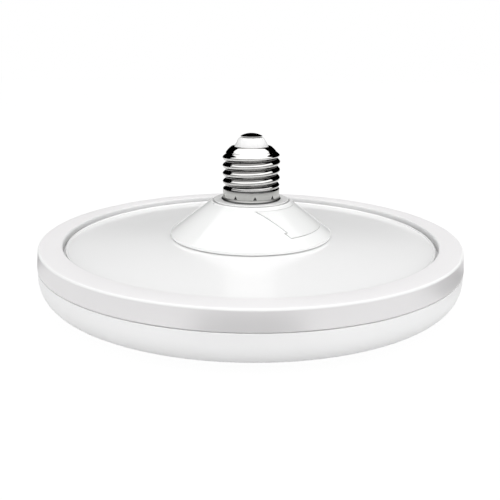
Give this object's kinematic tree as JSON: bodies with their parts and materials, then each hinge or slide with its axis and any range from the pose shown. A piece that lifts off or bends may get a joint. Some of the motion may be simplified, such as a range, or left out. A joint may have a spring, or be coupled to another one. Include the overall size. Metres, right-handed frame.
{
  "type": "led disc lamp",
  "caption": "Flat disc LED lamp with an Edison screw cap: domed milky diffuser under a rim ring, shallow back plate, and a conical neck that holds the driver.",
  "frame": {"origin": "centre of the diffuser's flat face, on the surface that the lamp stands on", "axes": "+Z along the lamp's axis towards the cap's centre contact; -Y is the side that faces the viewer in the picture; +X is to that viewer's right"},
  "size_m": [0.192, 0.192, 0.0709],
  "materials": {
    "contact_nickel": "polished nickel plate",
    "insulator_white": "smooth white",
    "shell_nickel": "bright nickel plate on the thread, satin on the skirt",
    "neck_white": "glossy white",
    "panel_white": "glossy white, a touch greyer than the neck",
    "ring_white": "satin white",
    "plate_paint": "glossy white paint on cast aluminium",
    "diffuser_milky": "milky, softly translucent",
    "led_board_white": "white solder mask",
    "board_green": "green circuit board",
    "capacitor_sleeve": "black sleeve on an aluminium can",
    "component_body": "moulded black",
    "winding": "enamelled copper winding on a ferrite core",
    "film_capacitor_red": "dipped red-brown",
    "lead_brown": "insulated lead",
    "lead_blue": "insulated lead",
    "lead_red": "insulated lead",
    "lead_black": "insulated lead",
    "screw_steel": "zinc plated"
  },
  "bodies": {
    "root": {"centre_contact": "contact_nickel", "cap_insulator": "insulator_white", "screw_shell": "shell_nickel", "neck_housing": "neck_white", "neck_side_panel": "panel_white", "rim_ring": "ring_white", "back_plate": "plate_paint", "diffuser": "diffuser_milky", "led_board": "led_board_white", "driver_board": "board_green", "input_capacitor": "capacitor_sleeve", "output_capacitor": "capacitor_sleeve", "transformer": "winding", "filter_choke": "winding", "bridge_rectifier": "component_body", "film_capacitor": "film_capacitor_red", "fuse_resistor": "component_body", "driver_chip": "component_body", "live_lead": "lead_brown", "neutral_lead": "lead_blue", "led_positive_lead": "lead_red", "led_negative_lead": "lead_black", "neck_screw_1": "screw_steel", "neck_screw_2": "screw_steel", "neck_screw_3": "screw_steel", "board_screw_1": "screw_steel", "board_screw_2": "screw_steel", "board_screw_3": "screw_steel"}
  },
  "joints": []
}
